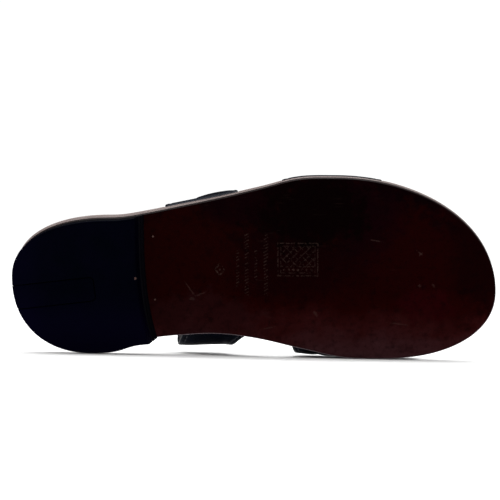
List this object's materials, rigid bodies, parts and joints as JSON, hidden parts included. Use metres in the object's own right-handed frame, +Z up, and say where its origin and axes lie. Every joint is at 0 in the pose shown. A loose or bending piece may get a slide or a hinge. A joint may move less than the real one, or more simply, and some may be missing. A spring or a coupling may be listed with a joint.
{
  "type": "leather slide sandal",
  "caption": "Right two-band leather slide lying on its inner side, dark red leather sole towards the viewer, black rubber heel lift, buckled instep band.",
  "frame": {"origin": "centre of the bounding box, on the floor the shoe lies on", "axes": "+X along the sole from heel to toe, -Y out of the sole's ground side, which looks 12 degrees down, +Z up, towards the shoe's outer side"},
  "size_m": [0.2874, 0.1101, 0.1089],
  "materials": {
    "sole_leather": "polished, scuffed",
    "rubber": "satin, worn",
    "edge_leather": "waxed edge",
    "heel_leather": "dyed, waxed edge",
    "footbed_leather": "matte",
    "band_leather": "smooth, low sheen",
    "metal": "satin"
  },
  "bodies": {
    "root": {"outsole": "sole_leather", "heel_lift": "rubber", "heel_tongue": "rubber", "heel_layer": "heel_leather", "midsole": "edge_leather", "footbed": "footbed_leather", "forefoot_band": "band_leather", "instep_band": "band_leather", "side_strap": "band_leather", "buckle_frame": "metal", "buckle_prong": "metal"}
  },
  "joints": []
}
